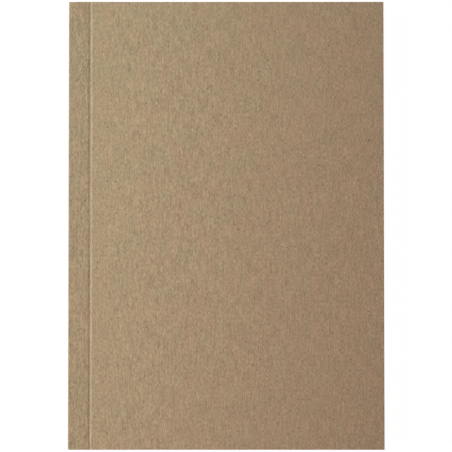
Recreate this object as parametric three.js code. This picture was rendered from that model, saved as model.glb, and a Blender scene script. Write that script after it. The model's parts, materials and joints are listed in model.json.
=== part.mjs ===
// Pocket notebook with a kraft card cover, a scored hinge and a block of sewn sections.
// Millimetres, +Z up. It lies on its back cover: spine at -X, fore edge at +X, head at +Y.
// The origin is the middle of the footprint, on the surface that the notebook lies on.
// The cover panels turn on their scores. The front half turns on the middle of the spine,
// so that the notebook lies open flat, and the leaves nearest to the middle rise as a fan.

import * as THREE from "three";

// Driving dimensions
const HEIGHT = 148;              // head to tail
const WIDTH = 104.25;            // spine to fore edge
const CARD = 0.4;                // cover card
const HINGE_OFFSET = 7;          // spine edge to the middle of the pressed score
const SCORE_GAP = 0.2;           // break in the card at a score
const CORNER_RADIUS = 0.5;       // outside of the card where it turns round the spine
const SECTION_COUNT = 8;         // an even number, so that the middle falls between two sections
const LEAVES_PER_SECTION = 12;
const PAPER = 0.09;              // one leaf
const LEAF_PITCH = 0.1;          // one leaf and the air above it
const SIDE_GLUE = 0.05;          // film between a hinge strip and the block
const SPINE_GLUE = 0.1;          // film between the lining and the spine panel
const LINING = 0.15;             // paper strip over the folds
const LINING_INSET = 0.6;        // lining ends this far inside the cover's faces
const THREAD_RADIUS = 0.18;
const THREAD_CHANNEL_RADIUS = 0.22;
const THREAD_SETBACK = 0.1;      // thread lies this far in front of the centre of the fold's curve
const THREAD_END = 12;           // head or tail to the end of the sewing
const FAN_LEAVES = 4;            // leaves on each side of the middle that rise as it opens
const FAN_ROOT = 0.4;            // centre of the fold's curve to the end of their bound margin
const FAN_ROOT_GAP = 0.1;        // break between that margin and the free leaf
const FOLD_SEGMENTS = 10;
const CORNER_SEGMENTS = 6;
const THREAD_SIDES = 8;

// Places worked out from them
const AIR = LEAF_PITCH - PAPER;
const SECTION_PITCH = LEAVES_PER_SECTION * LEAF_PITCH;
const SECTION_THICKNESS = SECTION_PITCH - AIR;
const BLOCK_BOTTOM = CARD + SIDE_GLUE;
const BLOCK_TOP = BLOCK_BOTTOM + SECTION_COUNT * SECTION_PITCH - AIR;
const THICKNESS = BLOCK_TOP + SIDE_GLUE + CARD;
const MIDDLE = THICKNESS / 2;
const LOWER_HALF_TOP = MIDDLE - AIR / 2;
const UPPER_HALF_BOTTOM = MIDDLE + AIR / 2;
const SPINE_X = -WIDTH / 2;
const FORE_EDGE_X = WIDTH / 2;
const SCORE_X = SPINE_X + HINGE_OFFSET;
const STRIP_END_X = SCORE_X - SCORE_GAP / 2;
const PANEL_START_X = SCORE_X + SCORE_GAP / 2;
const CORNER_X = SPINE_X + CORNER_RADIUS;
const GLUE_X = SPINE_X + CARD;
const LINING_X = GLUE_X + SPINE_GLUE;
const FOLD_X = LINING_X + LINING;
const FOLD_RADIUS = SECTION_THICKNESS / 2;
const FOLD_CENTRE_X = FOLD_X + FOLD_RADIUS;
const THREAD_X = FOLD_CENTRE_X + THREAD_SETBACK;
const FAN_STEP_X = FOLD_CENTRE_X + FAN_ROOT;
const FAN_LEAF_X = FAN_STEP_X + FAN_ROOT_GAP;
const FAN_DEPTH = FAN_LEAVES * LEAF_PITCH;

// Materials
const kraftCard = new THREE.MeshStandardMaterial({ color: 0xa1896d, roughness: 0.9, metalness: 0 });
const creamPaper = new THREE.MeshStandardMaterial({ color: 0xefe8d6, roughness: 0.95, metalness: 0 });
const liningPaper = new THREE.MeshStandardMaterial({ color: 0xd8cdb4, roughness: 0.95, metalness: 0 });
const driedGlue = new THREE.MeshStandardMaterial({ color: 0xe9e3d0, roughness: 0.5, metalness: 0 });
const linenThread = new THREE.MeshStandardMaterial({ color: 0xe6ddc8, roughness: 0.8, metalness: 0 });

const notebook = new THREE.Group();

function addMesh(name, geometry, material) {
  const mesh = new THREE.Mesh(geometry, material);
  mesh.name = name;
  notebook.add(mesh);
  return mesh;
}

// A flat slab that runs from head to tail, between two x and two z values.
function addSlab(name, x0, x1, z0, z1, material) {
  const slab = addMesh(name, new THREE.BoxGeometry(x1 - x0, HEIGHT, z1 - z0), material);
  slab.position.set((x0 + x1) / 2, 0, (z0 + z1) / 2);
}

// A profile drawn in x and z, run from head to tail.
function addProfile(name, profile, curveSegments, material) {
  const options = { depth: HEIGHT, bevelEnabled: false, curveSegments };
  const geometry = new THREE.ExtrudeGeometry(profile, options);
  geometry.rotateX(Math.PI / 2);
  geometry.translate(0, HEIGHT / 2, 0);
  addMesh(name, geometry, material);
}

// The lower half of the card behind the block: half the web, and the turn to the back strip.
function lowerSpineProfile() {
  const inner = CORNER_RADIUS - CARD;
  const profile = new THREE.Shape();
  profile.moveTo(CORNER_X, 0);
  profile.lineTo(CORNER_X, CARD);
  profile.absarc(CORNER_X, CORNER_RADIUS, inner, -Math.PI / 2, -Math.PI, true);
  profile.lineTo(GLUE_X, LOWER_HALF_TOP);
  profile.lineTo(SPINE_X, LOWER_HALF_TOP);
  profile.absarc(CORNER_X, CORNER_RADIUS, CORNER_RADIUS, Math.PI, Math.PI * 1.5, false);
  return profile;
}

// The upper half of the same card, with the turn to the front strip.
function upperSpineProfile() {
  const inner = CORNER_RADIUS - CARD;
  const centreZ = THICKNESS - CORNER_RADIUS;
  const profile = new THREE.Shape();
  profile.moveTo(SPINE_X, UPPER_HALF_BOTTOM);
  profile.lineTo(GLUE_X, UPPER_HALF_BOTTOM);
  profile.absarc(CORNER_X, centreZ, inner, Math.PI, Math.PI / 2, true);
  profile.lineTo(CORNER_X, THICKNESS);
  profile.absarc(CORNER_X, centreZ, CORNER_RADIUS, Math.PI / 2, Math.PI, false);
  return profile;
}

// One section: twelve leaves with a rounded fold at the spine and a channel for the thread.
// topStep and bottomStep are the depths that it leaves free for the leaves of the fan.
function sectionProfile(bottom, topStep, bottomStep) {
  const top = bottom + SECTION_THICKNESS;
  const middle = bottom + FOLD_RADIUS;
  const profile = new THREE.Shape();
  profile.moveTo(FORE_EDGE_X, bottom + bottomStep);
  profile.lineTo(FORE_EDGE_X, top - topStep);
  if (topStep > 0) {
    profile.lineTo(FAN_STEP_X, top - topStep);
    profile.lineTo(FAN_STEP_X, top);
  }
  profile.lineTo(FOLD_CENTRE_X, top);
  profile.absarc(FOLD_CENTRE_X, middle, FOLD_RADIUS, Math.PI / 2, Math.PI * 1.5, false);
  if (bottomStep > 0) {
    profile.lineTo(FAN_STEP_X, bottom);
    profile.lineTo(FAN_STEP_X, bottom + bottomStep);
  }

  const channel = new THREE.Path();
  channel.absarc(THREAD_X, middle, THREAD_CHANNEL_RADIUS, 0, Math.PI * 2, true);
  profile.holes.push(channel);
  return profile;
}

// Cover: one sheet of card, in lengths that meet at the spine corners, the scores and the middle
addProfile("spine_panel_front", upperSpineProfile(), CORNER_SEGMENTS, kraftCard);
addProfile("spine_panel_back", lowerSpineProfile(), CORNER_SEGMENTS, kraftCard);
addSlab("front_hinge_strip", CORNER_X, STRIP_END_X, THICKNESS - CARD, THICKNESS, kraftCard);
addSlab("back_hinge_strip", CORNER_X, STRIP_END_X, 0, CARD, kraftCard);
addSlab("front_cover", PANEL_START_X, FORE_EDGE_X, THICKNESS - CARD, THICKNESS, kraftCard);
addSlab("back_cover", PANEL_START_X, FORE_EDGE_X, 0, CARD, kraftCard);

// Adhesive under the hinge strips, and the adhesive and lining behind the folds
addSlab("front_side_glue", CORNER_X, STRIP_END_X, BLOCK_TOP, BLOCK_TOP + SIDE_GLUE, driedGlue);
addSlab("back_side_glue", CORNER_X, STRIP_END_X, CARD, BLOCK_BOTTOM, driedGlue);
const glueTop = THICKNESS - CORNER_RADIUS;
const liningTop = THICKNESS - LINING_INSET;
addSlab("spine_glue_front", GLUE_X, LINING_X, UPPER_HALF_BOTTOM, glueTop, driedGlue);
addSlab("spine_glue_back", GLUE_X, LINING_X, CORNER_RADIUS, LOWER_HALF_TOP, driedGlue);
addSlab("spine_lining_front", LINING_X, FOLD_X, UPPER_HALF_BOTTOM, liningTop, liningPaper);
addSlab("spine_lining_back", LINING_X, FOLD_X, LINING_INSET, LOWER_HALF_TOP, liningPaper);

// Sewn sections, counted from the front cover, each with its run of thread
const lastFrontSection = SECTION_COUNT / 2;
const threadLength = HEIGHT - 2 * THREAD_END;
for (let number = 1; number <= SECTION_COUNT; number += 1) {
  const bottom = BLOCK_BOTTOM + (SECTION_COUNT - number) * SECTION_PITCH;
  const topStep = number === lastFrontSection + 1 ? FAN_DEPTH : 0;
  const bottomStep = number === lastFrontSection ? FAN_DEPTH : 0;
  const profile = sectionProfile(bottom, topStep, bottomStep);
  addProfile(`section_${number}`, profile, FOLD_SEGMENTS, creamPaper);

  const thread = new THREE.CylinderGeometry(THREAD_RADIUS, THREAD_RADIUS, threadLength, THREAD_SIDES);
  const run = addMesh(`sewing_thread_${number}`, thread, linenThread);
  run.position.set(THREAD_X, 0, bottom + FOLD_RADIUS);
}

// The leaves of the fan, the last of the front half and the first of the back half.
// Leaves are counted from the front cover, and each one here is the part beyond the fold.
const middleLeaf = SECTION_COUNT * LEAVES_PER_SECTION / 2;
for (let number = middleLeaf - FAN_LEAVES + 1; number <= middleLeaf + FAN_LEAVES; number += 1) {
  const top = BLOCK_TOP - (number - 1) * LEAF_PITCH;
  addSlab(`leaf_${number}`, FAN_LEAF_X, FORE_EDGE_X, top - PAPER, top, creamPaper);
}

export default notebook;
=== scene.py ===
# Looks of a kraft card pocket notebook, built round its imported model. Metres, +Z up.
import json
import math
import random
import bmesh
import bpy
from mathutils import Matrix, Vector, noise


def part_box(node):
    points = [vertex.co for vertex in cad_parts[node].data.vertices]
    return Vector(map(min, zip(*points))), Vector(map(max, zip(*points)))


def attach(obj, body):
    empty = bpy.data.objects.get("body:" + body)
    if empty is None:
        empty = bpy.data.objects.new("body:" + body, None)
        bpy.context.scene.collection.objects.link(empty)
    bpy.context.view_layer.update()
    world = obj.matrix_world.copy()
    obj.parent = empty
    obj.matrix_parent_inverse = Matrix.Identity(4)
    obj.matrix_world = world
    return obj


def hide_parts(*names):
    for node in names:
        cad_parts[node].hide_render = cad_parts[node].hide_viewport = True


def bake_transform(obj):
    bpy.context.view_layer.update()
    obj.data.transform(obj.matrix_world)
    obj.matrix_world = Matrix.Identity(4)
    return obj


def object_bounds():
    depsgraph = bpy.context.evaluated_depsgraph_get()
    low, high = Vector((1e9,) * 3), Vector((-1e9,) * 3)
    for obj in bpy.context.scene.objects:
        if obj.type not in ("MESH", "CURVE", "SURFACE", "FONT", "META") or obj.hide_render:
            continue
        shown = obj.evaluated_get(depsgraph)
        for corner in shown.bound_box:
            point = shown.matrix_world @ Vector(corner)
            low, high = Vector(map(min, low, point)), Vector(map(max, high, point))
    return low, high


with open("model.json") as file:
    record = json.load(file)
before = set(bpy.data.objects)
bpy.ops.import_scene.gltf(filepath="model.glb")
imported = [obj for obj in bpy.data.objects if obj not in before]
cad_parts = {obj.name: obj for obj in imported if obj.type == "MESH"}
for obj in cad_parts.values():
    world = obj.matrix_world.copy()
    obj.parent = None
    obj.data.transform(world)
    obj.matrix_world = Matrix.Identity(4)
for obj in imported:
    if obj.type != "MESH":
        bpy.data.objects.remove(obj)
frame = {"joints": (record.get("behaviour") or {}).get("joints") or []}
cad_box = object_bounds()

MM = 0.001

# ---------------------------------------------------------------------------------------------
# Places read from the frame
# ---------------------------------------------------------------------------------------------
SPINE_X = cad_box[0].x
FORE_X = cad_box[1].x
TAIL_Y = cad_box[0].y
HEAD_Y = cad_box[1].y
TOP_Z = cad_box[1].z
BOTTOM_Z = cad_box[0].z

joints = {joint["name"]: joint for joint in frame["joints"]}
SCORE_X = joints["front_cover_hinge"]["pos_m"][0]
MIDDLE_Z = joints["centre_opening"]["pos_m"][2]

strip_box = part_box("front_hinge_strip")
leaf_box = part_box("leaf_49")
CORNER_X = strip_box[0].x
CORNER_RADIUS = CORNER_X - SPINE_X
CARD = strip_box[1].z - strip_box[0].z
PAPER = leaf_box[1].z - leaf_box[0].z

SECTION_COUNT = 8
FOLDED_SHEETS = 6
LEAVES_PER_SECTION = 2 * FOLDED_SHEETS
FIRST_FAN_LEAF = 45
LAST_FAN_LEAF = 52
section_boxes = {n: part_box(f"section_{n}") for n in range(1, SECTION_COUNT + 1)}
FOLD_RADIUS = (section_boxes[1][1].z - section_boxes[1][0].z) / 2
FOLD_CENTRE_X = section_boxes[1][0].x + FOLD_RADIUS
SECTION_PITCH = section_boxes[1][0].z - section_boxes[2][0].z

# Shapes of the card that are finer than the frame holds
SCORE_DEPTH = 0.18 * MM
SCORE_REACH = 0.8 * MM               # from the score's deepest line to either side
SCORE_LINE_X = SCORE_X + 0.16 * MM   # that line lies a little to the fore edge of the joint
SCORE_UNDERSIDE = 0.03 * MM          # how far the score shows on the inside of the card
SCORE_HIGHLIGHT = 0.35                    # painted highlight: paleness on the lit side of the score, where that of a cut edge is 1
FRONT_RIDGE = 0.15 * MM              # the card stands this far proud just beyond the score
BACK_RIDGE = 0.04 * MM               # the same on the back cover, which folds closer to its strip
RIDGE_LENGTH = 4 * MM                # the ridge dies away over this
STRIP_SHADE = -0.1                    # painted shade: the hinge strip's colour is a little darker than the panel's
COVER_LIFT = 0.14 * MM               # the front cover's free corners stand off the block by this
EDGE_LIFT_SHARE = 0.45               # and the middle of its fore edge by this share of it
LIFT_START = 10 * MM                 # from the joint to where the front cover starts to rise
WAVE_HEIGHT = 0.02 * MM
WAVE_LENGTH = 28 * MM
WAVE_START_LENGTH = 20 * MM          # the waves reach their full height this far from the joint
ARRIS = 0.15 * MM                    # width of the soft edge of the cut card
ARRIS_LOSS = 0.35                    # share of the thickness that is lost at the cut itself
SPINE_BEND = 0.6 * MM                # the spine turns over this, to either side of its middle


# ---------------------------------------------------------------------------------------------
# Mesh building
# ---------------------------------------------------------------------------------------------
SHARP_ANGLE = math.radians(50)       # an edge that turns more than this is shaded as a sharp one


def add_object(name, data):
    """A new object with this data, in the scene."""
    made = bpy.data.objects.new(name, data)
    bpy.context.scene.collection.objects.link(made)
    return made


def finish_piece(name, mesh, edge, tone, material):
    """Gives a mesh its attributes, smooth shading and material, and puts it in the scene."""
    rest = mesh.attributes.new("rest_mm", "FLOAT_VECTOR", "POINT")
    rest.data.foreach_set("vector", [c / MM for v in mesh.vertices for c in v.co])
    mesh.attributes.new("edge", "FLOAT", "POINT").data.foreach_set("value", edge)
    mesh.attributes.new("tone", "FLOAT", "POINT").data.foreach_set("value", tone)
    mesh.polygons.foreach_set("use_smooth", [True] * len(mesh.polygons))
    mesh.materials.append(material)
    return add_object(name, mesh)


class Sheets:
    """Collects closed thin sheets, each a grid of outer and inner points, into one mesh.

    edge is 1 at a point on a cut edge and 0 elsewhere, and tone lightens or darkens a sheet.
    """

    def __init__(self):
        self.points = []
        self.faces = []
        self.edge = []
        self.tone = []

    def add(self, rows, tone=0.0, start_is_cut=True, end_is_cut=True):
        """rows holds one list for each station from tail to head, of (outer, inner) points.

        start_is_cut and end_is_cut tell whether those lists start and end at a cut edge.
        """
        count = len(rows[0])
        base = len(self.points)
        for j, row in enumerate(rows):
            for i, pair in enumerate(row):
                at_end = j in (0, len(rows) - 1)
                at_start = i == 0 and start_is_cut
                at_finish = i == count - 1 and end_is_cut
                self.points += [tuple(pair[0]), tuple(pair[1])]
                self.edge += [float(at_end or at_start or at_finish)] * 2
                self.tone += [tone] * 2

        def outer(i, j):
            return base + 2 * (j * count + i)

        def inner(i, j):
            return outer(i, j) + 1

        last_i = count - 1
        last_j = len(rows) - 1
        for j in range(last_j):
            for i in range(last_i):
                self.faces.append((outer(i, j), outer(i + 1, j), outer(i + 1, j + 1), outer(i, j + 1)))
                self.faces.append((inner(i, j), inner(i, j + 1), inner(i + 1, j + 1), inner(i + 1, j)))
            self.faces.append((outer(0, j), outer(0, j + 1), inner(0, j + 1), inner(0, j)))
            self.faces.append(
                (outer(last_i, j), inner(last_i, j), inner(last_i, j + 1), outer(last_i, j + 1))
            )
        for i in range(last_i):
            self.faces.append((outer(i, 0), inner(i, 0), inner(i + 1, 0), outer(i + 1, 0)))
            self.faces.append(
                (outer(i, last_j), outer(i + 1, last_j), inner(i + 1, last_j), inner(i, last_j))
            )

    def build(self, name, material):
        mesh = bpy.data.meshes.new(name)
        mesh.from_pydata(self.points, [], self.faces)
        faces_out = bmesh.new()
        faces_out.from_mesh(mesh)
        bmesh.ops.recalc_face_normals(faces_out, faces=faces_out.faces)
        faces_out.to_mesh(mesh)
        faces_out.free()
        piece = finish_piece(name, mesh, self.edge, self.tone, material)
        mesh.set_sharp_from_angle(angle=SHARP_ANGLE)
        return piece


def smoothstep(value, start, end):
    """0 before start, 1 after end, and a smooth rise between them."""
    t = min(1.0, max(0.0, (value - start) / (end - start)))
    return t * t * (3 - 2 * t)


def spaced(start, end, step):
    """Evenly spaced values from start to end, about step apart, both ends included."""
    count = max(1, round(abs(end - start) / step))
    return [start + (end - start) * k / count for k in range(count + 1)]


def y_stations(insets, step):
    """Places from tail to head, with close ones just inside both ends, for a cut edge."""
    first = [TAIL_Y] + [TAIL_Y + d for d in insets[:-1]]
    last = [HEAD_Y - d for d in reversed(insets[:-1])] + [HEAD_Y]
    return first + spaced(TAIL_Y + insets[-1], HEAD_Y - insets[-1], step) + last


def ribbon(path, y, half_thickness):
    """(outer, inner) points on both sides of a centre line of (x, z), at one y."""
    pairs = []
    for i, (x, z) in enumerate(path):
        before = path[max(0, i - 1)]
        after = path[min(len(path) - 1, i + 1)]
        tangent = Vector((after[0] - before[0], after[1] - before[1])).normalized()
        off_x = -tangent.y * half_thickness
        off_z = tangent.x * half_thickness
        pairs.append(((x + off_x, y, z + off_z), (x - off_x, y, z - off_z)))
    return pairs


# ---------------------------------------------------------------------------------------------
# Materials
# ---------------------------------------------------------------------------------------------
def add_node(tree, kind, inputs=None, **settings):
    """One node, with its settings, and its inputs as values or as other nodes' outputs."""
    made = tree.nodes.new(kind)
    for key, value in settings.items():
        setattr(made, key, value)
    for key, value in (inputs or {}).items():
        if isinstance(value, bpy.types.NodeSocket):
            tree.links.new(value, made.inputs[key])
        else:
            made.inputs[key].default_value = value
    return made


def new_material(name):
    """A material with a Principled shader. Returns it, its tree and the shader."""
    material = bpy.data.materials.new(name)
    material.use_nodes = True
    tree = material.node_tree
    return material, tree, tree.nodes["Principled BSDF"]


def math_node(tree, operation, first, second):
    return add_node(tree, "ShaderNodeMath", {0: first, 1: second}, operation=operation).outputs[0]


def stretched(tree, factors):
    """Rest position in millimetres, stretched by a factor for each axis."""
    rest = add_node(tree, "ShaderNodeAttribute", attribute_name="rest_mm", attribute_type="GEOMETRY")
    inputs = {0: rest.outputs["Vector"], 1: factors}
    return add_node(tree, "ShaderNodeVectorMath", inputs, operation="MULTIPLY").outputs[0]


def attribute(tree, name):
    """A number that the mesh holds at each point."""
    made = add_node(tree, "ShaderNodeAttribute", attribute_name=name, attribute_type="GEOMETRY")
    return made.outputs["Fac"]


def noise_value(tree, factors, scale, detail=2.0, roughness=0.5, distortion=0.0):
    """Noise centred on zero, of about -0.5 to 0.5, on stretched rest positions."""
    inputs = {
        "Vector": stretched(tree, factors),
        "Scale": scale,
        "Detail": detail,
        "Roughness": roughness,
        "Distortion": distortion,
    }
    made = add_node(tree, "ShaderNodeTexNoise", inputs)
    return math_node(tree, "SUBTRACT", made.outputs["Fac"], 0.5)


def weighted_sum(tree, start, parts):
    """start plus each of the parts times its weight."""
    total = start
    for value, weight in parts:
        scaled = math_node(tree, "MULTIPLY", value, weight)
        total = math_node(tree, "ADD", scaled, total)
    return total


def mix_colour(tree, factor, first, second):
    """first where factor is 0, second where it is 1. The numbers are the colour mix's sockets."""
    inputs = {0: factor, 6: first, 7: second}
    return add_node(tree, "ShaderNodeMix", inputs, data_type="RGBA").outputs[2]


def mix_in(tree, mask, share, base, added):
    """base, with this share of another colour where the mask is 1."""
    return mix_colour(tree, math_node(tree, "MULTIPLY", mask, share), base, added)


def scale_colour(tree, colour, factor):
    inputs = {0: colour, "Scale": factor}
    return add_node(tree, "ShaderNodeVectorMath", inputs, operation="SCALE").outputs[0]


def flecks(tree, factors, scale, radius, share):
    """A mask of sparse spots, 1 inside a spot, in about this share of the pattern's cells.

    The spots are round in space, so only those whose middle is near a surface show on it.
    """
    inputs = {"Vector": stretched(tree, factors), "Scale": scale, "Randomness": 1.0}
    cells = add_node(tree, "ShaderNodeTexVoronoi", inputs, feature="F1")
    spot = math_node(tree, "LESS_THAN", cells.outputs["Distance"], radius)
    pick = add_node(tree, "ShaderNodeSeparateColor", {0: cells.outputs["Color"]}).outputs[0]
    chosen = math_node(tree, "LESS_THAN", pick, share)
    return math_node(tree, "MULTIPLY", spot, chosen)


def add_bump(tree, shader, height, distance):
    """Relief: a height of 1 stands this distance above a height of 0."""
    bump = add_node(tree, "ShaderNodeBump", {"Height": height, "Distance": distance, "Strength": 1.0})
    tree.links.new(bump.outputs["Normal"], shader.inputs["Normal"])


def plain_surface(tree, shader, colour, grain, contrast, roughness, roughness_change, relief):
    """Gives a shader a colour, a roughness and a relief that all follow one grain."""
    brightness = weighted_sum(tree, 1.0, [(grain, contrast)])
    tree.links.new(scale_colour(tree, colour, brightness), shader.inputs["Base Color"])
    uneven = weighted_sum(tree, roughness, [(grain, roughness_change)])
    tree.links.new(uneven, shader.inputs["Roughness"])
    add_bump(tree, shader, grain, relief)


def kraft_material():
    """Recycled card: short fibres that run from head to tail, soft mottling and sparse specks."""
    material, tree, shader = new_material("kraft_card")
    fibres = noise_value(tree, (1, 0.31, 1), 3.4, detail=1.5, roughness=0.65)
    long_fibres = noise_value(tree, (1, 0.11, 1), 1.7, detail=2.0, roughness=0.6, distortion=0.2)
    clouds = noise_value(tree, (1, 0.7, 1), 0.16, detail=3.0, roughness=0.6)
    tint = noise_value(tree, (1, 0.6, 1), 0.25, detail=1.0, roughness=0.6)
    # on the card, tone holds the painted shade of the hinge strips and the spine
    tone = attribute(tree, "tone")
    parts = [(fibres, 1.3), (long_fibres, 0.6), (clouds, 0.12), (tone, 1.0)]
    brightness = weighted_sum(tree, 1.0, parts)

    redder = (0.426, 0.279, 0.173, 1.0)
    greener = (0.382, 0.296, 0.176, 1.0)
    # painted light: the card turns redder toward the fore edge and the tail, for cooler key light at
    # the spine side and warmer light across from it
    painted_warmth_per_mm = (0.0055, -0.0022, 0.0)
    dot_inputs = {0: stretched(tree, (1, 1, 1)), 1: painted_warmth_per_mm}
    painted_light_tint = add_node(tree, "ShaderNodeVectorMath", dot_inputs, operation="DOT_PRODUCT").outputs["Value"]
    # the share of the redder colour is real mottling plus the painted light tint
    mottle_and_painted_tint = weighted_sum(tree, 0.5, [(tint, 1.2), (painted_light_tint, 1.0)])
    colour = scale_colour(tree, mix_colour(tree, mottle_and_painted_tint, greener, redder), brightness)

    dark_fleck = (0.11, 0.08, 0.055, 1.0)
    light_fleck = (0.62, 0.48, 0.32, 1.0)
    # pale worn card at the cut edges, and the painted highlight on the score's lit side
    worn_edge_and_highlight = (0.45, 0.41, 0.34, 1.0)
    dark = flecks(tree, (1, 1, 1), scale=0.3, radius=0.09, share=0.35)
    colour = mix_in(tree, dark, 0.55, colour, dark_fleck)
    light = flecks(tree, (1, 0.35, 1), scale=0.6, radius=0.1, share=0.4)
    colour = mix_in(tree, light, 0.45, colour, light_fleck)
    # the edge mask holds the worn cut edges and the score's painted highlight
    colour = mix_in(tree, attribute(tree, "edge"), 0.45, colour, worn_edge_and_highlight)
    tree.links.new(colour, shader.inputs["Base Color"])

    roughness = weighted_sum(tree, 0.88, [(fibres, 0.2)])
    tree.links.new(roughness, shader.inputs["Roughness"])
    shader.inputs["Specular IOR Level"].default_value = 0.25
    relief = weighted_sum(tree, 0.5, [(fibres, 1.0), (long_fibres, 0.6)])
    add_bump(tree, shader, relief, 0.03 * MM)
    return material


def page_material():
    """Uncoated cream paper: faint fibres, and cut edges that differ a little leaf by leaf."""
    material, tree, shader = new_material("cream_paper")
    grain = noise_value(tree, (1, 0.6, 1), 3.2, detail=2.0, roughness=0.6)
    clouds = noise_value(tree, (1, 1, 1), 0.09, detail=2.0)
    edge = attribute(tree, "edge")
    edge_tone = math_node(tree, "MULTIPLY", attribute(tree, "tone"), edge)
    brightness = weighted_sum(tree, 1.0, [(grain, 0.05), (clouds, 0.04), (edge_tone, 1.0)])
    sheet_colour = (0.85, 0.80, 0.685, 1.0)
    edge_colour = (0.86, 0.79, 0.65, 1.0)
    colour = scale_colour(tree, mix_in(tree, edge, 0.6, sheet_colour, edge_colour), brightness)
    tree.links.new(colour, shader.inputs["Base Color"])
    tree.links.new(weighted_sum(tree, 0.9, [(grain, 0.12)]), shader.inputs["Roughness"])
    shader.inputs["Specular IOR Level"].default_value = 0.2
    add_bump(tree, shader, grain, 0.012 * MM)
    return material


def lining_material():
    """Unbleached paper strip behind the folds."""
    material, tree, shader = new_material("lining_paper")
    grain = noise_value(tree, (1, 0.3, 1), 2.0, detail=3.0, roughness=0.6)
    unbleached = (0.66, 0.57, 0.42)
    plain_surface(tree, shader, unbleached, grain, contrast=0.25,
                  roughness=0.9, roughness_change=0.1, relief=0.03 * MM)
    return material


def glue_material():
    """Dried bookbinding adhesive: off-white, a little glossy, with a brushed surface."""
    material, tree, shader = new_material("dried_glue")
    brushed = noise_value(tree, (1, 0.2, 1), 0.9, detail=3.0, roughness=0.6)
    off_white = (0.78, 0.72, 0.58)
    plain_surface(tree, shader, off_white, brushed, contrast=0.3,
                  roughness=0.45, roughness_change=0.3, relief=0.05 * MM)
    return material


def thread_material():
    """Waxed linen thread, with fine strands that run along it."""
    material, tree, shader = new_material("linen_thread")
    strands = noise_value(tree, (4, 1, 4), 3.0, detail=3.0, roughness=0.7)
    linen = (0.76, 0.70, 0.57)
    plain_surface(tree, shader, linen, strands, contrast=0.4,
                  roughness=0.6, roughness_change=0.3, relief=0.02 * MM)
    return material


kraft = kraft_material()
page = page_material()
lining_paper = lining_material()
glue = glue_material()
thread_finish = thread_material()


# ---------------------------------------------------------------------------------------------
# Cover: one sheet of card, scored on both sides of the spine
# ---------------------------------------------------------------------------------------------
CARD_INSETS = [0.03 * MM, 0.08 * MM, ARRIS, 0.5 * MM]   # close rows of points inside a cut edge

# Lengths of the card's faces, short where it curves and long where it is flat
STRIP_STEP = 1.2 * MM
SCORE_STEP = 0.06 * MM
RIDGE_STEP = 0.25 * MM
RIDGE_FINE_LENGTH = 3 * MM       # the ridge has its fine steps over this, beyond the score
PANEL_STEP = 5 * MM
SPINE_STEP = 0.6 * MM
SPINE_BEND_STEP = 0.07 * MM
SPINE_BEND_MARGIN = 0.1 * MM     # the spine's fine steps start this far outside its bend
CORNER_STEPS = 10
card_stations = y_stations(CARD_INSETS, 6 * MM)


def card_half_thickness(distance):
    """Half the card's thickness, this far inside its cut edge: the arris is a little soft."""
    if distance >= ARRIS:
        return CARD / 2
    return CARD / 2 * (1 - ARRIS_LOSS * (1 - distance / ARRIS) ** 2)


def edge_distance(y):
    """How far a place is from the head or the tail, whichever is nearer."""
    return min(y - TAIL_Y, HEAD_Y - y)


def wave(x, y):
    """A slow, slight unevenness of the card, with none at the spine."""
    rise = smoothstep(x, SCORE_X, SCORE_X + WAVE_START_LENGTH)
    return WAVE_HEIGHT * rise * noise.noise(Vector((x, y, 0.0)) / WAVE_LENGTH)


def score_depth(x):
    """How far the pressed score takes the card's outer face in."""
    u = (x - SCORE_LINE_X) / SCORE_REACH
    if abs(u) >= 1:
        return 0.0
    return SCORE_DEPTH * (1 + math.cos(math.pi * u)) / 2


def ridge(x, height):
    """The slight rise of the panel beyond the score, which dies away."""
    past = x - SCORE_LINE_X - SCORE_REACH
    rise = smoothstep(past, -SCORE_REACH, 0.0)
    return height * rise * math.exp(-max(0.0, past) / RIDGE_LENGTH)


def score_highlight(x):
    """Painted highlight: paleness of the card where it rises from the score to face the key light, in
    the colour of a cut edge.
    """
    u = (x - SCORE_LINE_X) / SCORE_REACH
    return SCORE_HIGHLIGHT * max(0.0, 1 - (2 * u - 1) ** 2)


def strip_shade(x):
    """Painted shade of the card, darker on the strip and changing to the panel's colour in the score.
    """
    return STRIP_SHADE * (1 - smoothstep(x, SCORE_X, SCORE_X + SCORE_REACH))


def lift(x, y):
    """The free side of the front cover stands off the block a little, most at its corners."""
    along = smoothstep(x, SCORE_X + LIFT_START, FORE_X)
    corner = EDGE_LIFT_SHARE + (1 - EDGE_LIFT_SHARE) * (abs(y) / HEAD_Y) ** 2
    return COVER_LIFT * along * corner


def panel_x_values():
    """Places from the spine's turn to the fore edge, closest together in the score."""
    score_start = SCORE_LINE_X - SCORE_REACH
    score_end = SCORE_LINE_X + SCORE_REACH
    ridge_end = score_end + RIDGE_FINE_LENGTH
    values = spaced(CORNER_X, score_start, STRIP_STEP)[:-1]
    values += spaced(score_start, score_end, SCORE_STEP)[:-1]
    values += spaced(score_end, ridge_end, RIDGE_STEP)[:-1]
    values += spaced(ridge_end, FORE_X - CARD_INSETS[-1], PANEL_STEP)
    return values + [FORE_X - d for d in reversed(CARD_INSETS[:-1])] + [FORE_X]


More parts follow.
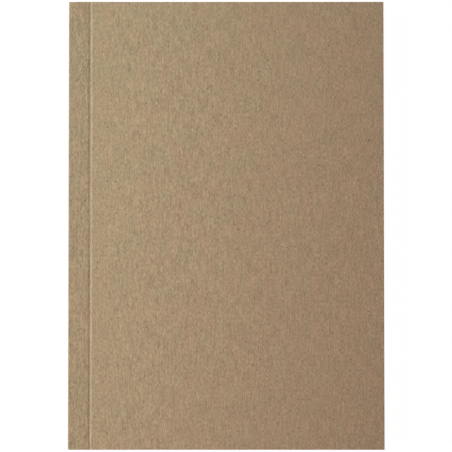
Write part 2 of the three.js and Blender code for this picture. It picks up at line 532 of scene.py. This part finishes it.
def cover_panel(name, outer_z, outward, ridge_height, nodes):
    """Hinge strip, score and panel of one side of the cover, which bends at its score.

    outward is 1 on the front cover, which stands off the block a little, and -1 on the back.
    """
    rows = []
    for y in card_stations:
        row = []
        for x in panel_x_values():
            half = min(card_half_thickness(FORE_X - x), card_half_thickness(edge_distance(y)))
            middle = outer_z - outward * CARD / 2
            if outward > 0:
                middle += lift(x, y) + wave(x, y)
            depth = score_depth(x)
            outer = middle + outward * (half - depth + ridge(x, ridge_height))
            inner = middle - outward * (half + SCORE_UNDERSIDE * depth / SCORE_DEPTH)
            row.append(((x, y, outer), (x, y, inner)))
        rows.append(row)
    sheets = Sheets()
    sheets.add(rows, start_is_cut=False)
    # painted shade on the hinge strip, which fades out in the score
    sheets.tone = [strip_shade(x) for x, _, _ in sheets.points]
    # the painted highlight beside the score joins the worn cut edges in the edge mask
    sheets.edge = [max(edge, score_highlight(x)) for edge, (x, _, _) in zip(sheets.edge, sheets.points)]
    piece = sheets.build(name, kraft)
    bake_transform(piece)
    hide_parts(*nodes)


def spine_path():
    """Centre line of the card from the front strip, round the spine, to the back strip."""
    radius = CORNER_RADIUS - CARD / 2
    top = TOP_Z - CORNER_RADIUS
    low = BOTTOM_Z + CORNER_RADIUS
    upper = []
    for k in range(CORNER_STEPS + 1):
        angle = k / CORNER_STEPS * math.pi / 2
        upper.append((CORNER_X - radius * math.sin(angle), top + radius * math.cos(angle)))
    fine_top = MIDDLE_Z + SPINE_BEND + SPINE_BEND_MARGIN
    fine_low = MIDDLE_Z - SPINE_BEND - SPINE_BEND_MARGIN
    heights = spaced(top, fine_top, SPINE_STEP)[1:-1]
    heights += spaced(fine_top, fine_low, SPINE_BEND_STEP)
    heights += spaced(fine_low, low, SPINE_STEP)[1:-1]
    lower = [(x, BOTTOM_Z + TOP_Z - z) for x, z in reversed(upper)]
    return upper + [(SPINE_X + CARD / 2, z) for z in heights] + lower


def cover_spine():
    """The card behind the block, which bends at its middle as the notebook opens."""
    path = spine_path()
    rows = [ribbon(path, y, card_half_thickness(edge_distance(y))) for y in card_stations]
    sheets = Sheets()
    # the spine's colour takes the hinge strip's painted shade too
    sheets.add(rows, tone=STRIP_SHADE, start_is_cut=False, end_is_cut=False)
    piece = sheets.build("cover_spine", kraft)
    bend_across_middle(piece)
    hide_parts("spine_panel_front", "spine_panel_back")


def bend_across_middle(piece):
    """Bakes the placement of a piece that runs from the back half to the front half into its mesh."""
    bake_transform(piece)


cover_panel("cover_front", TOP_Z, 1, FRONT_RIDGE,
            ["front_hinge_strip", "front_cover"])
cover_panel("cover_back", BOTTOM_Z, -1, BACK_RIDGE,
            ["back_hinge_strip", "back_cover"])
cover_spine()


# ---------------------------------------------------------------------------------------------
# Sections: folded sheets of paper, one inside the other
# ---------------------------------------------------------------------------------------------
CUT_INSET = 0.12 * MM            # a leaf's edge colour ends this far inside its cut edge
CUT_SPREAD = 0.05 * MM           # the shortest leaf is shorter than the longest by this at most
SETTLE = 5 * MM                  # leaves are pressed together at the fold and loosen over this
FAN_BEND = 26 * MM               # a leaf of the fan curves over this length from its fold
LEAST_AIR = 0.15                 # least air between two leaves, where its random part averages 1
TONE_START = 0.05                # a section's first leaf differs in edge tone by this at most
TONE_KEPT = 0.6                  # share of the tone that a leaf has from the leaf above it
TONE_STEP = 0.09                 # and this much more or less at most
FOLD_STEPS = 9
page_stations = y_stations([CUT_INSET], 37 * MM)
dice = random.Random(20)


def loose_levels(top):
    """Heights of a section's leaves, from the top, with air shared out unevenly between them."""
    air = [dice.expovariate(1.0) + LEAST_AIR for _ in range(LEAVES_PER_SECTION + 1)]
    room = 2 * FOLD_RADIUS - LEAVES_PER_SECTION * PAPER
    unit = room / sum(air)
    levels = []
    z = top
    for gap in air[:LEAVES_PER_SECTION]:
        z -= gap * unit
        levels.append(z - PAPER / 2)
        z -= PAPER
    return levels


def leaf_x_values(cut, bend_length, bend_step, free_step):
    """Places along a leaf, from its fold to its cut fore edge, closer together where it bends."""
    bend_end = FOLD_CENTRE_X + bend_length
    bend = spaced(FOLD_CENTRE_X, bend_end, bend_step)[:-1]
    free = spaced(bend_end, FORE_X - CUT_INSET, free_step)
    return bend + free + [FORE_X - cut]


def other_leaf(leaf):
    """The leaf on the other side of the same folded sheet."""
    return LEAVES_PER_SECTION - 1 - leaf


class Section:
    """Measures of one section: heights of its leaves at tail and head, their cuts and tones.

    A leaf is counted from 0 at the top, and so is a folded sheet, which is nested in the one before.
    """

    def __init__(self, number):
        self.number = number
        low, high = section_boxes[number]
        self.fold_z = low.z + FOLD_RADIUS
        self.at_tail = loose_levels(high.z)
        self.at_head = loose_levels(high.z)
        self.cuts = [dice.uniform(0.0, CUT_SPREAD) for _ in range(LEAVES_PER_SECTION)]
        tone = dice.uniform(-TONE_START, TONE_START)
        self.tones = []
        for _ in range(LEAVES_PER_SECTION):
            tone = TONE_KEPT * tone + dice.uniform(-TONE_STEP, TONE_STEP)
            self.tones.append(tone)

    def first_leaf(self):
        """Number of the section's top leaf, counted from 1 under the front cover."""
        return (self.number - 1) * LEAVES_PER_SECTION + 1

    def in_fan(self, leaf):
        return FIRST_FAN_LEAF <= self.first_leaf() + leaf <= LAST_FAN_LEAF

    def fold_height(self, leaf):
        """Height of a leaf at the fold, over the fold's centre."""
        nested = min(leaf, other_leaf(leaf))
        radius = FOLD_RADIUS - PAPER / 2 - nested * PAPER
        return radius if leaf < FOLDED_SHEETS else -radius

    def height(self, leaf, x, y):
        """Height of a leaf's centre line, from its place at the fold to its loose place beyond."""
        headward = smoothstep(y, TAIL_Y, HEAD_Y)
        loose = self.at_tail[leaf] * (1 - headward) + self.at_head[leaf] * headward
        at_fold = self.fold_z + self.fold_height(leaf)
        return at_fold + (loose - at_fold) * smoothstep(x, FOLD_CENTRE_X, FOLD_CENTRE_X + SETTLE)

    def leaf_line(self, leaf, y, x_values):
        """Centre line of a leaf at one y, as (x, z)."""
        return [(x, self.height(leaf, x, y)) for x in x_values]

    def fold_points(self, nested):
        """The round of one folded sheet, without its two ends."""
        radius = self.fold_height(nested)
        points = []
        for k in range(1, FOLD_STEPS):
            angle = math.pi * k / FOLD_STEPS
            x = FOLD_CENTRE_X - radius * math.sin(angle)
            points.append((x, self.fold_z + radius * math.cos(angle)))
        return points

    def side_x_values(self, leaf):
        """Places along one side of a folded sheet, only the fold where the fan has the rest."""
        if self.in_fan(leaf):
            return [FOLD_CENTRE_X]
        return leaf_x_values(self.cuts[leaf], SETTLE, bend_step=0.8 * MM, free_step=24 * MM)

    def folded_sheet_path(self, nested, y):
        """Centre line of one folded sheet, from its upper leaf round the fold to its lower leaf."""
        lower = other_leaf(nested)
        line = self.leaf_line(nested, y, reversed(self.side_x_values(nested)))
        line += self.fold_points(nested)
        line += self.leaf_line(lower, y, self.side_x_values(lower))
        return line


def block_of(number):
    """The body that a section is in."""
    return "front_block" if number <= SECTION_COUNT // 2 else "back_block"


def build_section(section):
    """A section's folded sheets, without the leaves of the fan."""
    sheets = Sheets()
    for nested in range(FOLDED_SHEETS):
        rows = [ribbon(section.folded_sheet_path(nested, y), y, PAPER / 2) for y in page_stations]
        sheets.add(rows, tone=section.tones[nested], start_is_cut=not section.in_fan(nested),
                   end_is_cut=not section.in_fan(other_leaf(nested)))
    piece = sheets.build(f"section_{section.number}_sheets", page)
    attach(piece, block_of(section.number))
    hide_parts(f"section_{section.number}")


def build_fan_leaf(section, leaf):
    """A leaf near the middle of the notebook, which curves up from its fold as it opens."""
    number = section.first_leaf() + leaf
    cut = section.cuts[leaf]
    x_values = leaf_x_values(cut, FAN_BEND, bend_step=0.9 * MM, free_step=12 * MM)
    rows = [ribbon(section.leaf_line(leaf, y, x_values), y, PAPER / 2) for y in page_stations]
    sheets = Sheets()
    sheets.add(rows, tone=section.tones[leaf], start_is_cut=False)
    piece = sheets.build(f"leaf_{number}_sheet", page)
    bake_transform(piece)
    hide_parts(f"leaf_{number}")


sections = [Section(number) for number in range(1, SECTION_COUNT + 1)]
for one_section in sections:
    build_section(one_section)
    for leaf_index in range(LEAVES_PER_SECTION):
        if one_section.in_fan(leaf_index):
            build_fan_leaf(one_section, leaf_index)


# ---------------------------------------------------------------------------------------------
# Lining, adhesive and thread
# ---------------------------------------------------------------------------------------------
DIP = 0.1 * MM                   # the lining sinks this far between the rounded folds
GLUE_RETREAT = 0.5 * MM          # side glue ends about half of this short of the strip's end
GLUE_EDGE_LENGTH = 9 * MM        # length of the waves in its edge
GLUE_STEPS = 6
LINING_STEP = 0.08 * MM          # height of a face of the lining
binding_stations = y_stations([0.1 * MM], 12 * MM)


def dip(z):
    """How far the lining sinks into the valley between two sections, at a height."""
    phase = (z - sections[0].fold_z) / SECTION_PITCH
    return DIP * (1 - math.cos(2 * math.pi * phase)) / 2


def build_spine_strip(name, box, outer_sinks, material, nodes):
    """A strip behind the folds. Its inner face sinks between them, and its outer face can too."""
    low, high = box
    rows = []
    for y in binding_stations:
        row = []
        for z in spaced(low.z, BOTTOM_Z + TOP_Z - low.z, LINING_STEP):
            outer_x = low.x + dip(z) if outer_sinks else low.x
            row.append(((outer_x, y, z), (high.x + dip(z), y, z)))
        rows.append(row)
    sheets = Sheets()
    sheets.add(rows)
    piece = sheets.build(name, material)
    bend_across_middle(piece)
    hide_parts(*nodes)


def build_side_glue(name, node, body):
    """A film under a hinge strip, with the uneven edge that squeezed glue has."""
    low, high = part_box(node)
    rows = []
    for y in binding_stations:
        unevenness = noise.noise(Vector((0.0, y / GLUE_EDGE_LENGTH, low.z / MM)))
        length = high.x - low.x - max(0.0, GLUE_RETREAT * (0.5 + unevenness))
        x_values = [low.x + length * k / GLUE_STEPS for k in range(GLUE_STEPS + 1)]
        rows.append([((x, y, high.z), (x, y, low.z)) for x in x_values])
    sheets = Sheets()
    sheets.add(rows)
    piece = sheets.build(name, glue)
    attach(piece, body)
    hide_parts(node)


THREAD_HALF_WIDTH = 0.15 * MM
THREAD_FILL = 0.9                # share of the room inside the innermost fold that it takes
THREAD_SETBACK = 0.7             # its back is behind the fold's centre by this share of that room
THREAD_SIDES = 12
THREAD_STEP = 0.4 * MM
TWIST_LENGTH = 1.6 * MM          # one full turn of its two plies
PLY_DEPTH = 0.16                 # depth of the grooves between them, of its radius


def thread_ring(y, middle_x, middle_z, half_height):
    """Points round the thread at one y: an ellipse with two grooves that turn as y grows."""
    ring = []
    for k in range(THREAD_SIDES):
        angle = 2 * math.pi * k / THREAD_SIDES
        groove = (1 + math.cos(2 * (angle - 2 * math.pi * y / TWIST_LENGTH))) / 2
        radius = 1 - PLY_DEPTH * groove
        x = middle_x + THREAD_HALF_WIDTH * radius * math.cos(angle)
        z = middle_z + half_height * radius * math.sin(angle)
        ring.append((x, y, z))
    return ring


def build_thread(number):
    """A twisted thread, pressed flat inside the innermost fold of its section."""
    low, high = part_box(f"sewing_thread_{number}")
    room = FOLD_RADIUS - FOLDED_SHEETS * PAPER
    middle_x = FOLD_CENTRE_X + THREAD_HALF_WIDTH - THREAD_SETBACK * room
    middle_z = (low.z + high.z) / 2
    tube = bmesh.new()
    rings = []
    for y in spaced(low.y, high.y, THREAD_STEP):
        points = thread_ring(y, middle_x, middle_z, THREAD_FILL * room)
        rings.append([tube.verts.new(point) for point in points])
    for ring, following in zip(rings, rings[1:]):
        for k in range(THREAD_SIDES):
            after = (k + 1) % THREAD_SIDES
            tube.faces.new((ring[k], ring[after], following[after], following[k]))
    tube.faces.new(rings[0])
    tube.faces.new(reversed(rings[-1]))
    bmesh.ops.recalc_face_normals(tube, faces=tube.faces)
    mesh = bpy.data.meshes.new(f"thread_{number}")
    tube.to_mesh(mesh)
    tube.free()
    zeros = [0.0] * len(mesh.vertices)
    piece = finish_piece(f"thread_{number}", mesh, zeros, zeros, thread_finish)
    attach(piece, block_of(number))
    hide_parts(f"sewing_thread_{number}")


build_spine_strip("spine_lining_strip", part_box("spine_lining_back"), True, lining_paper,
                  ["spine_lining_front", "spine_lining_back"])
build_spine_strip("spine_glue_film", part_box("spine_glue_back"), False, glue,
                  ["spine_glue_front", "spine_glue_back"])
build_side_glue("side_glue_front", "front_side_glue", "front_block")
build_side_glue("side_glue_back", "back_side_glue", "back_block")
for thread_number in range(1, SECTION_COUNT + 1):
    build_thread(thread_number)


# ---------------------------------------------------------------------------------------------
# Stage, light and camera
# ---------------------------------------------------------------------------------------------
FLOOR_SIZE = 12.0
FLOOR_DROP = 1.6 * MM            # room for both covers when they lie open under the block
FLOOR_COLOUR = (0.03, 0.03, 0.03, 1.0)
FLOOR_GLOW = 0.98                # a lit white backdrop, which shows hardly any shadow
WHITE = (1.0, 1.0, 1.0, 1.0)
KEY_PLACE = (-0.535, 0.06, 0.6)
KEY_TARGET = (-0.103, 0.01, 0.0)
KEY_SIZE = (0.6, 0.2)            # its level width and its height
KEY_SPREAD = 36                  # degrees
KEY_WATTS = 0.503
VIEW_WIDTH = 149.25 * MM         # what the picture takes in, across the front cover's plane
VIEW_CENTRE = (-0.057 * MM, -0.325 * MM)
CAMERA_TILT = 1.8                # degrees that the camera stands off straight above, to the tail
LENS = 150.0                     # this and the sensor's width are in millimetres
SENSOR = 36.0


def build_floor():
    mesh = bpy.data.meshes.new("floor")
    half = FLOOR_SIZE / 2
    z = BOTTOM_Z - FLOOR_DROP
    corners = [(-half, -half, z), (half, -half, z), (half, half, z), (-half, half, z)]
    mesh.from_pydata(corners, [], [(0, 1, 2, 3)])
    material, _, shader = new_material("floor")
    shader.inputs["Base Color"].default_value = FLOOR_COLOUR
    shader.inputs["Roughness"].default_value = 0.9
    shader.inputs["Emission Color"].default_value = WHITE
    shader.inputs["Emission Strength"].default_value = FLOOR_GLOW
    mesh.materials.append(material)
    add_object("floor", mesh)


def build_world():
    """White surroundings, full up to the horizon and a fifth of that from 30 degrees above it."""
    world = bpy.data.worlds.new("studio")
    world.use_nodes = True
    tree = world.node_tree
    direction = add_node(tree, "ShaderNodeTexCoord").outputs["Generated"]
    height = add_node(tree, "ShaderNodeSeparateXYZ", {0: direction}).outputs["Z"]
    above = math.sin(math.radians(30))
    levels = {"Value": height, "From Min": 0.0, "From Max": above, "To Min": 1.0, "To Max": 0.2}
    strength = add_node(tree, "ShaderNodeMapRange", levels).outputs["Result"]
    background = tree.nodes["Background"]
    background.inputs["Color"].default_value = WHITE
    tree.links.new(strength, background.inputs["Strength"])
    bpy.context.scene.world = world


def add_key_light():
    """A soft box beyond the spine, whose grid narrows its light."""
    light = bpy.data.lights.new("key", "AREA")
    light.shape = "ELLIPSE"
    light.size, light.size_y = KEY_SIZE
    light.spread = math.radians(KEY_SPREAD)
    light.energy = KEY_WATTS
    lamp = add_object("key", light)
    lamp.location = KEY_PLACE
    lamp.rotation_mode = "QUATERNION"
    lamp.rotation_quaternion = (Vector(KEY_TARGET) - Vector(KEY_PLACE)).to_track_quat("-Z", "Y")
    lamp.visible_camera = False


def add_camera():
    """Almost straight above the front cover, a little nearer to the tail than to the head."""
    data = bpy.data.cameras.new("camera")
    data.lens = LENS
    data.sensor_width = SENSOR
    camera = add_object("camera", data)
    distance = VIEW_WIDTH / SENSOR * LENS
    tilt = math.radians(CAMERA_TILT)
    offset = Vector((0.0, -math.sin(tilt), math.cos(tilt))) * distance
    camera.location = Vector((*VIEW_CENTRE, TOP_Z)) + offset
    camera.rotation_euler = (tilt, 0.0, 0.0)
    bpy.context.scene.camera = camera


build_floor()
build_world()
add_key_light()
add_camera()
bpy.context.scene.view_settings.view_transform = "Standard"
